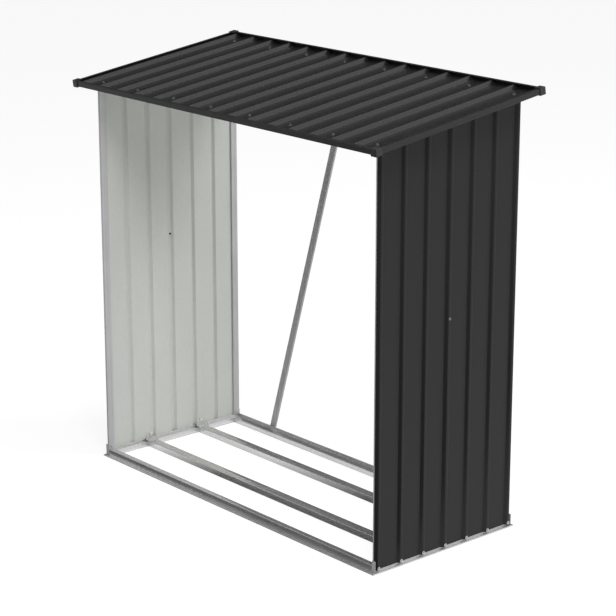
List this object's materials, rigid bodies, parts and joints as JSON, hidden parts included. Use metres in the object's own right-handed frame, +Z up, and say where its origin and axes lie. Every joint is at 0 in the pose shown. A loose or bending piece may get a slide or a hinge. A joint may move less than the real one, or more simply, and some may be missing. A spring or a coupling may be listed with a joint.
{
  "type": "metal log store",
  "caption": "Open-fronted metal log store with ribbed side walls, a ribbed single-pitch roof and a pressed steel base frame.",
  "frame": {"origin": "on the ground under the middle of the roof, at the bottom centre of the bounding box", "axes": "+X to the right along the open front, +Y from the front to the back, where the roof is higher, +Z up"},
  "size_m": [1.85, 0.8694, 1.7739],
  "materials": {
    "galvanised_steel": "bright galvanised sheet",
    "wall_coating": "dark grey coil coating outside, off-white backing coat inside",
    "roof_coating": "dark grey coil coating, satin",
    "trim_coating": "dark grey coil coating, satin",
    "cap_plastic": "moulded dark grey plastic, matte"
  },
  "bodies": {
    "root": {"base_front_rail": "galvanised_steel", "base_rear_rail": "galvanised_steel", "base_left_rail": "galvanised_steel", "base_right_rail": "galvanised_steel", "floor_rail_front": "galvanised_steel", "floor_rail_rear": "galvanised_steel", "base_bracket_front_left": "galvanised_steel", "base_bracket_front_right": "galvanised_steel", "base_bracket_rear_left": "galvanised_steel", "base_bracket_rear_right": "galvanised_steel", "post_front_left": "galvanised_steel", "post_front_right": "galvanised_steel", "post_rear_left": "galvanised_steel", "post_rear_right": "galvanised_steel", "left_top_rail": "galvanised_steel", "right_top_rail": "galvanised_steel", "front_roof_beam": "galvanised_steel", "rear_roof_beam": "galvanised_steel", "rear_brace": "galvanised_steel", "left_wall_front_sheet": "wall_coating", "left_wall_rear_sheet": "wall_coating", "right_wall_front_sheet": "wall_coating", "right_wall_rear_sheet": "wall_coating", "roof_sheet_1": "roof_coating", "roof_sheet_2": "roof_coating", "roof_sheet_3": "roof_coating", "roof_sheet_4": "roof_coating", "roof_sheet_5": "roof_coating", "roof_front_trim": "trim_coating", "roof_rear_trim": "trim_coating", "roof_left_trim": "trim_coating", "roof_right_trim": "trim_coating", "roof_cap_front_left": "cap_plastic", "roof_cap_front_right": "cap_plastic", "roof_cap_rear_left": "cap_plastic", "roof_cap_rear_right": "cap_plastic"}
  },
  "joints": []
}
